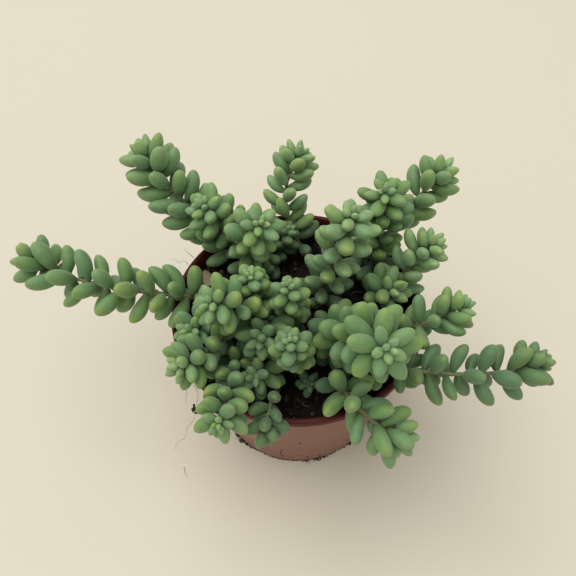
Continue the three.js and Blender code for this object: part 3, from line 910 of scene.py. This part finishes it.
root_gap = np.linalg.norm(root[:, None] - root[None], axis=2)
near = np.triu(root_gap < length[:, None] + length[None] + 2, 1)
first, second = np.nonzero(near)
first_ball = np.repeat(first * 4, 16) + np.tile(np.repeat(np.arange(4), 4), len(first))
second_ball = np.repeat(second * 4, 16) + np.tile(np.tile(np.arange(4), 4), len(first))
same_stem = np.repeat(leaf_stem[first] == leaf_stem[second], 16)
counted = ~(same_stem & ((first_ball % 4 == 0) | (second_ball % 4 == 0)))
first_ball, second_ball, same_stem = first_ball[counted], second_ball[counted], same_stem[counted]
first_yields = shaded[first_ball // 4] | ~shaded[second_ball // 4]
second_yields = shaded[second_ball // 4] | ~shaded[first_ball // 4]
stem_places = np.array([stem_path(stem_points(stem))[0][::4] for stem in STEMS.values()])
stem_owner = np.repeat(np.arange(len(STEMS)), stem_places.shape[1])
stem_places = stem_places.reshape(-1, 3)
stem_gap = np.linalg.norm(root[:, None] - stem_places[None], axis=2)
by_stem, stem_place = np.nonzero((stem_gap < length[:, None] + 4) & (leaf_stem[:, None] != stem_owner[None]))
by_stem_ball = np.repeat(by_stem * 4, 4) + np.tile(np.arange(4), len(by_stem))
stem_place = np.repeat(stem_place, 4)


def crowding_pushes():
    """Each leaf's turning push, and how deep it lies in another stem's pieces, the soil or the pot."""
    centre, radius, arm = leaf_balls()
    ball, size, lever = centre.reshape(-1, 3), radius.ravel(), arm.ravel()
    depth = np.zeros(leaf_count)

    between = ball[first_ball] - ball[second_ball]
    gap = np.linalg.norm(between, axis=1)
    reach = size[first_ball] + size[second_ball]
    need = np.where(same_stem, SAME_STEM_REACH * reach, reach + LEAF_GAP)
    close = gap < need
    a, b = first_ball[close], second_ball[close]
    half_push = between[close] * ((need - gap) / gap / 2)[close, None]
    push = summed(half_push * first_yields[close, None] / lever[a, None], a // 4)
    push -= summed(half_push * second_yields[close, None] / lever[b, None], b // 4)
    others = close & ~same_stem
    np.maximum.at(depth, first_ball[others & first_yields] // 4, (need - gap)[others & first_yields])
    np.maximum.at(depth, second_ball[others & second_yields] // 4, (need - gap)[others & second_yields])

    between = ball[by_stem_ball] - stem_places[stem_place]
    gap = np.linalg.norm(between, axis=1)
    need = size[by_stem_ball] + STEM_RADIUS + 0.2 + LEAF_GAP
    close = gap < need
    a = by_stem_ball[close]
    push += summed(between[close] * ((need - gap) / gap)[close, None] / lever[a, None], a // 4)
    np.maximum.at(depth, a // 4, (need - gap)[close])

    out = np.hypot(ball[:, 0], ball[:, 1])
    ground = SOIL_TOP + heap_height(ball[:, 0], ball[:, 1])
    lift = np.maximum(0, ground + LEAF_GAP + size - ball[:, 2]) * (out < RIM_RADIUS)
    wall_foot = np.array([BASE_RADIUS, 0])
    wall = np.array([RIM_RADIUS - LIP_WIDTH / 2, POT_HEIGHT - LIP_WIDTH / 2]) - wall_foot
    flat = np.stack([out, ball[:, 2]], axis=1)
    along_wall = np.clip((flat - wall_foot) @ wall / (wall @ wall), 0, 1)
    away = flat - wall_foot - along_wall[:, None] * wall
    wall_gap = np.linalg.norm(away, axis=1)
    inside = np.maximum(0, LIP_WIDTH / 2 + LEAF_GAP + size - wall_gap)
    away *= (inside / wall_gap)[:, None]
    from_pot = np.stack([
        away[:, 0] * ball[:, 0] / out,
        away[:, 0] * ball[:, 1] / out,
        away[:, 1] + lift,
    ], axis=1)
    push += summed(from_pot / lever[:, None], np.arange(len(ball)) // 4)
    depth = np.maximum(depth, np.linalg.norm(from_pot, axis=1).reshape(-1, 4).max(axis=1))
    return push, depth


for _ in range(ROUNDS):
    push, _ = crowding_pushes()
    aim = unit(aim + TURNING * push)
    turned = np.arccos(np.clip(np.sum(aim * first_aim, axis=1), -1, 1))
    far = turned > MOST_TURN
    sideways = unit(aim[far] - np.cos(turned[far])[:, None] * first_aim[far])
    aim[far] = math.cos(MOST_TURN) * first_aim[far] + math.sin(MOST_TURN) * sideways
for _ in range(SHRINKS):
    _, depth = crowding_pushes()
    share[depth > DEEP] *= SHRINK
curl = curls()

# Leaves low in the thick of the plant, and the small shaded ones, are given painted shade: darker and bluer
# than those above them.
SHADE_TOP = 99
SHADE_DEPTH = 16
SHADE_RADIUS = 48
in_the_thick = np.hypot(root[:, 0], root[:, 1]) < SHADE_RADIUS
leaf_shade = np.maximum(shaded, in_the_thick * np.clip((SHADE_TOP - root[:, 2]) / SHADE_DEPTH, 0, 1))

# Some shoots are painted paler than the others, as painted light, and some dimmer, as painted shade.
PAINTED_LIGHT_SHOOTS = {
    "back_left": 0.35, "back_left_inner": 0.5, "back_left_low": 0.35, "back_middle": 0.9, "centre_tall": 0.8,
    "back_right_long": 0.2, "right_upper": 1,
}
# Painted shade: these shoots' leaves are darkened by the amount given.
PAINTED_SHADE_SHOOTS = {
    "right_trailing": 0.5, "left_middle": 0.6, "front_inner": 0.5, "small_middle": 0.15, "small_front": 0.35,
    "thin_hanging": 0.8, "front_left": 0.12,
}


def of_its_shoot(amounts):
    """The amount that is given for each leaf's shoot, or none."""
    return np.array([amounts.get(name, 0) for name in STEMS])[leaf_stem]


# Painted light lowers a leaf's age here, so its shoot's leaves take more of the young, paler green.
leaf_age = grown * (1 - of_its_shoot(PAINTED_LIGHT_SHOOTS))
leaf_shade = np.maximum(leaf_shade, of_its_shoot(PAINTED_SHADE_SHOOTS))

# A leaf is water-filled and firm: a narrow neck at the stem, widest past the middle, and a blunt tip with a
# small point. It is modelled once, 1 long and 1 in half width, as a sphere whose rings are drawn out to the
# (radius, place) points of its profile, from the tip to the neck.
LEAF_SIDES = 8
LEAF_RINGS = 8
LEAF_PROFILE = [
    (0, 1.035),
    (0.48, 0.985),
    (0.86, 0.885),
    (1.07, 0.73),
    (1.08, 0.55),
    (0.93, 0.37),
    (0.65, 0.2),
    (0.4, 0.07),
    (0, 0),
]
bpy.ops.mesh.primitive_uv_sphere_add(segments=LEAF_SIDES, ring_count=LEAF_RINGS, radius=1)
leaf_model = bpy.context.object
bpy.ops.object.transform_apply(location=True)
ring_of = np.rint(np.arccos(np.clip(places_of(leaf_model)[:, 2], -1, 1)) / math.pi * LEAF_RINGS).astype(int)
bpy.ops.object.mode_set(mode="EDIT")
for ring, (ring_radius, ring_place) in enumerate(LEAF_PROFILE):
    bpy.ops.mesh.select_all(action="DESELECT")
    bpy.ops.object.mode_set(mode="OBJECT")
    for vertex, its_ring in zip(leaf_model.data.vertices, ring_of):
        vertex.select = bool(its_ring == ring)
    bpy.ops.object.mode_set(mode="EDIT")
    from_radius = max(math.sin(math.pi * ring / LEAF_RINGS), 0.01)
    widen = max(ring_radius, 0.001) / from_radius
    bpy.ops.transform.resize(value=(widen, widen, 1), center_override=(0, 0, 0))
    bpy.ops.transform.translate(value=(0, 0, ring_place - math.cos(math.pi * ring / LEAF_RINGS)))
bpy.ops.object.mode_set(mode="OBJECT")
leaf_shape = places_of(leaf_model)

# Stonecrop leaf skin: smooth and soft, with a film of wax that scatters light, so the green looks pale and
# matt. Where leaves rub, the wax is gone and the skin is a glossier green. Tips in the light turn yellow.
leaf_skin, tree, skin, places = start_material("waxy leaf skin")
place = add_node(tree, "Attribute", attribute_name="place").outputs["Fac"]
tone = add_node(tree, "Attribute", attribute_name="tone").outputs["Fac"]
# Young leaves are paler, and so are the leaves of shoots given painted light.
age = add_node(tree, "Attribute", attribute_name="age").outputs["Fac"]
shade = add_node(tree, "Attribute", attribute_name="shade").outputs["Fac"]
patches = add_node(tree, "TexNoise", {
    "Vector": places,
    "Scale": 1 / (7 * MM),
    "Detail": 3,
    "Roughness": 0.55,
})
mottle = add_node(tree, "TexNoise", {"Vector": places, "Scale": 1 / (2 * MM), "Detail": 4, "Roughness": 0.6})
yellow_share = add_node(tree, "MapRange", {"Value": tone, "From Min": 0.5, "From Max": 1, "To Max": 0.6})
blue_share = add_node(tree, "MapRange", {"Value": tone, "From Min": 0.45, "From Max": 0, "To Max": 0.55})
wax_share = add_node(tree, "MapRange", {
    "Value": patches.outputs["Fac"],
    "From Min": 0.38,
    "From Max": 0.62,
    "To Min": 0.15,
    "To Max": 0.75,
})
mottle_share = add_node(tree, "MapRange", {
    "Value": mottle.outputs["Fac"],
    "From Min": 0.35,
    "From Max": 0.7,
    "To Max": 0.3,
})
# Painted shade: each leaf's neck, at the stem, is darkened towards a deep green.
painted_shade_at_neck = add_node(tree, "MapRange", {"Value": place, "From Min": 0.45, "From Max": 0.05, "To Max": 0.5})
# Painted shade: leaves marked with shade are darkened towards a dark blue-green.
shade_share = add_node(tree, "MapRange", {"Value": shade, "To Max": 0.7})
tip_share = add_node(tree, "MapRange", {"Value": place, "From Min": 0.7, "From Max": 1.02, "To Max": 0.42})
tip_toned = add_node(tree, "Math", {0: tip_share.outputs["Result"], 1: tone}, operation="MULTIPLY")
sunlit = add_node(tree, "MapRange", {"Value": shade, "To Min": 1, "To Max": 0.2})
tip_sunlit = add_node(tree, "Math", {
    0: tip_toned.outputs["Value"],
    1: sunlit.outputs["Result"],
}, operation="MULTIPLY")
point_share = add_node(tree, "MapRange", {"Value": place, "From Min": 0.985, "From Max": 1.03, "To Max": 0.3})
green = lay_colours(tree, "#a0c086", [
    (age, "#628a49"),
    (yellow_share.outputs["Result"], "#7b9642"),
    (blue_share.outputs["Result"], "#5f8a72"),
    (wax_share.outputs["Result"], "#779768"),
    (mottle_share.outputs["Result"], "#53773a"),
    (painted_shade_at_neck.outputs["Result"], "#3b5a2d"),
    (shade_share.outputs["Result"], "#2f4a38"),
    (tip_sunlit.outputs["Value"], "#9cb04a"),
    (point_share.outputs["Result"], "#a3984f"),
])
matt = add_node(tree, "MapRange", {"Value": patches.outputs["Fac"], "To Min": 0.42, "To Max": 0.66})
relief = add_node(tree, "Bump", {"Height": mottle.outputs["Fac"], "Strength": 0.25, "Distance": 0.3 * MM})
set_inputs(tree, skin, {
    "Base Color": green,
    "Roughness": matt.outputs["Result"],
    "Normal": relief.outputs["Normal"],
    "IOR": 1.42,
    "Subsurface Weight": 0.1,
    "Subsurface Radius": (0.5, 1, 0.25),
    "Subsurface Scale": 1.5 * MM,
    "Sheen Weight": 0.2,
    "Sheen Roughness": 0.5,
})

# Stonecrop stem: soft and smooth, pale green near the tip and browner and drier towards the foot.
stem_skin, tree, skin, places = start_material("soft stem skin")
streaks = add_node(tree, "TexNoise", {"Vector": places, "Scale": 1 / (2.5 * MM), "Detail": 5})
aged = add_node(tree, "Attribute", attribute_name="place").outputs["Fac"]
bark = lay_colours(tree, "#6f5a41", [(aged, "#7c8f5b"), (streaks.outputs["Fac"], "#6b6a45")])
rough = add_node(tree, "MapRange", {"Value": streaks.outputs["Fac"], "To Min": 0.5, "To Max": 0.75})
relief = add_node(tree, "Bump", {"Height": streaks.outputs["Fac"], "Strength": 0.5, "Distance": 0.4 * MM})
set_inputs(tree, skin, {
    "Base Color": bark,
    "Roughness": rough.outputs["Result"],
    "Normal": relief.outputs["Normal"],
})


def draw_stem(name, stem):
    """The stem itself: rooted straight down, thinner towards its tip."""
    foot, low_arm, high_arm, tip = stem_points(stem)
    below = foot - np.array([0, 0, FOOT_DEPTH])
    thin = STEM_RADIUS * (0.45 if stem[4] > 10 else 0.35)
    stalk = draw_tube(
        name,
        [below, foot, tip],
        [STEM_RADIUS * 1.05, STEM_RADIUS, thin],
        smoothness=20,
        handles=[
            (below, below + (0, 0, FOOT_DEPTH / 2)),
            (foot - (0, 0, FOOT_DEPTH / 2), low_arm),
            (high_arm, tip),
        ],
    )
    from_foot = np.linalg.norm(places_of(stalk) / MM - foot, axis=1)
    mark_points(stalk, place=np.clip(from_foot / GREEN_FROM, 0, 1), tone=0, age=1, shade=0)
    stalk.data.materials.append(stem_skin)
    return stalk


# Each leaf is flatter above than below, a little fatter or thinner than the next, and narrower at its tip the
# younger it is.
for index, (name, stem) in enumerate(STEMS.items()):
    draw = draws(900 + index)
    parts = [draw_stem(name, stem)]
    for leaf in np.nonzero((leaf_stem == index) & (share > SMALLEST_SHARE))[0]:
        long, wide = length[leaf] * share[leaf], half_width[leaf] * share[leaf]
        x, y, z = leaf_shape.T
        narrow = 1 - 0.4 * (1 - grown[leaf]) * np.clip((z - 0.6) / 0.4, 0, 1)
        flat_side = np.where(x > 0, 0.84, 0.98)
        fatness = 0.95 + 0.12 * draw()
        local = np.stack([
            x * wide * narrow * flat_side * fatness + bend[leaf] * z * z * long,
            y * wide * narrow * fatness * (1 + 0.06 * (draw() - 0.5)),
            z * long,
        ], axis=1)
        across = np.cross(aim[leaf], curl[leaf])
        copy = copy_of(leaf_model, local @ np.array([curl[leaf], across, aim[leaf]]) + root[leaf])
        mark_points(copy, place=z, tone=draw(), age=leaf_age[leaf], shade=leaf_shade[leaf])
        copy.data.materials.append(leaf_skin)
        parts.append(copy)
    shoot = join(parts, name + "_shoot")
    apply_modifier(shoot, "SUBSURF", levels=1, render_levels=1)
    bpy.ops.object.shade_smooth()
    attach(shoot, "root")
    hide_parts("stem_" + name)
bpy.data.objects.remove(leaf_model)


# The dry leaf: one fallen leaf, shrunken to a wrinkled tan husk, loose on the soil at the back left.
DRY_LENGTH = 11
DRY_WIDTH = 6
DRY_THICKNESS = 1.6
DRY_CURL = 0.8
DRY_TURN = 0.42
bpy.ops.mesh.primitive_uv_sphere_add(segments=20, ring_count=16, radius=1, rotation=(math.pi / 2, 0, 0))
dry_leaf = bpy.context.object
dry_leaf.name = dry_leaf.data.name = "dry_leaf_husk"
dry_leaf.scale = (DRY_WIDTH / 2 * MM, DRY_THICKNESS / 2 * MM, DRY_LENGTH / 2 * MM)
bpy.ops.object.transform_apply(rotation=True, scale=True)
for vertex in dry_leaf.data.vertices:
    along = vertex.co.y / (DRY_LENGTH / 2 * MM)
    vertex.co.x *= 1 - 0.25 * along
    vertex.co.z += DRY_CURL * MM * along**2
crumble(dry_leaf, lump_size=2.5, depth=0.5)
dry_base = soil_height(*DRY_PLACE) + DRY_THICKNESS / 2
dry_leaf.data.transform(
    Matrix.Translation(Vector((*DRY_PLACE, dry_base)) * MM) @ Matrix.Rotation(DRY_TURN, 4, "Z")
)
bpy.ops.object.shade_smooth()

# Dry leaf skin: papery and matt, tan with darker streaks in its wrinkles.
husk, tree, skin, places = start_material("dry leaf skin")
wrinkles = add_node(tree, "TexNoise", {"Vector": places, "Scale": 1 / (1.2 * MM), "Detail": 4})
tan = lay_colours(tree, "#7b6b4d", [(wrinkles.outputs["Fac"], "#a89a78")])
papery = add_node(tree, "MapRange", {"Value": wrinkles.outputs["Fac"], "To Min": 0.65, "To Max": 0.9})
relief = add_node(tree, "Bump", {"Height": wrinkles.outputs["Fac"], "Strength": 0.6, "Distance": 0.3 * MM})
set_inputs(tree, skin, {
    "Base Color": tan,
    "Roughness": papery.outputs["Result"],
    "Normal": relief.outputs["Normal"],
})
dry_leaf.data.materials.append(husk)
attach(dry_leaf, "root")
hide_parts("dry_leaf")


# The stage: a plain pale table, the camera at the photograph's angle, and soft daylight from all round, most
# of it from above.
TABLE_SIZE = 6
bpy.ops.mesh.primitive_plane_add(size=TABLE_SIZE)
table = bpy.context.object
table.name = "table"
table_top, tree, skin, places = start_material("pale table top")
set_inputs(tree, skin, {"Base Color": linear("#d3ccba"), "Roughness": 0.6})
table.data.materials.append(table_top)

CAMERA_PLACE = (0, -163.805, 318.81)
CAMERA_TURNS = (36.573, 0.721, 0.535)
CAMERA_LENS = 37.5
CAMERA_SENSOR = 36
bpy.ops.object.camera_add(location=Vector(CAMERA_PLACE) * MM)
camera = bpy.context.object
camera.rotation_euler = [math.radians(turn) for turn in CAMERA_TURNS]
camera.data.sensor_width = CAMERA_SENSOR
camera.data.lens = CAMERA_LENS
camera.data.clip_start = 0.01
bpy.context.scene.camera = camera


def shine(name, way_up, softness, strength):
    """Even light from one side of the room: the way to it, how wide it is in degrees, and its strength."""
    bpy.ops.object.light_add(type="SUN", location=Vector(way_up).normalized())
    light = bpy.context.object
    light.name = name
    light.data.angle = math.radians(softness)
    light.data.energy = strength
    light.data.color = linear("#fffdf8")[:3]
    light.rotation_euler = Vector(way_up).to_track_quat("Z", "Y").to_euler()


shine("window_above", (-0.28, 0.04, 1.2), 60, 1.85)
shine("window_behind", (-0.4, 1.1, 0.8), 70, 0.75)
shine("room_in_front", (0.1, -0.9, 1.1), 70, 0.45)
shine("room_at_left", (-1, -0.1, 0.4), 80, 0.42)
shine("room_at_right", (1, -0.1, 0.4), 80, 0.42)
world = bpy.data.worlds.new("room")
bpy.context.scene.world = world
world.use_nodes = True
tree = world.node_tree
room_light = tree.nodes["Background"]
set_inputs(tree, room_light, {"Color": linear("#f6f5f2"), "Strength": 0.3})
backdrop = add_node(tree, "Background", {"Color": linear("#e6e0d0")})
around = add_node(tree, "MixShader", {
    "Fac": add_node(tree, "LightPath").outputs["Is Camera Ray"],
    1: room_light.outputs["Background"],
    2: backdrop.outputs["Background"],
})
set_inputs(tree, tree.nodes["World Output"], {"Surface": around.outputs["Shader"]})
bpy.context.scene.view_settings.view_transform = "Standard"

bpy.ops.object.select_all(action="DESELECT")
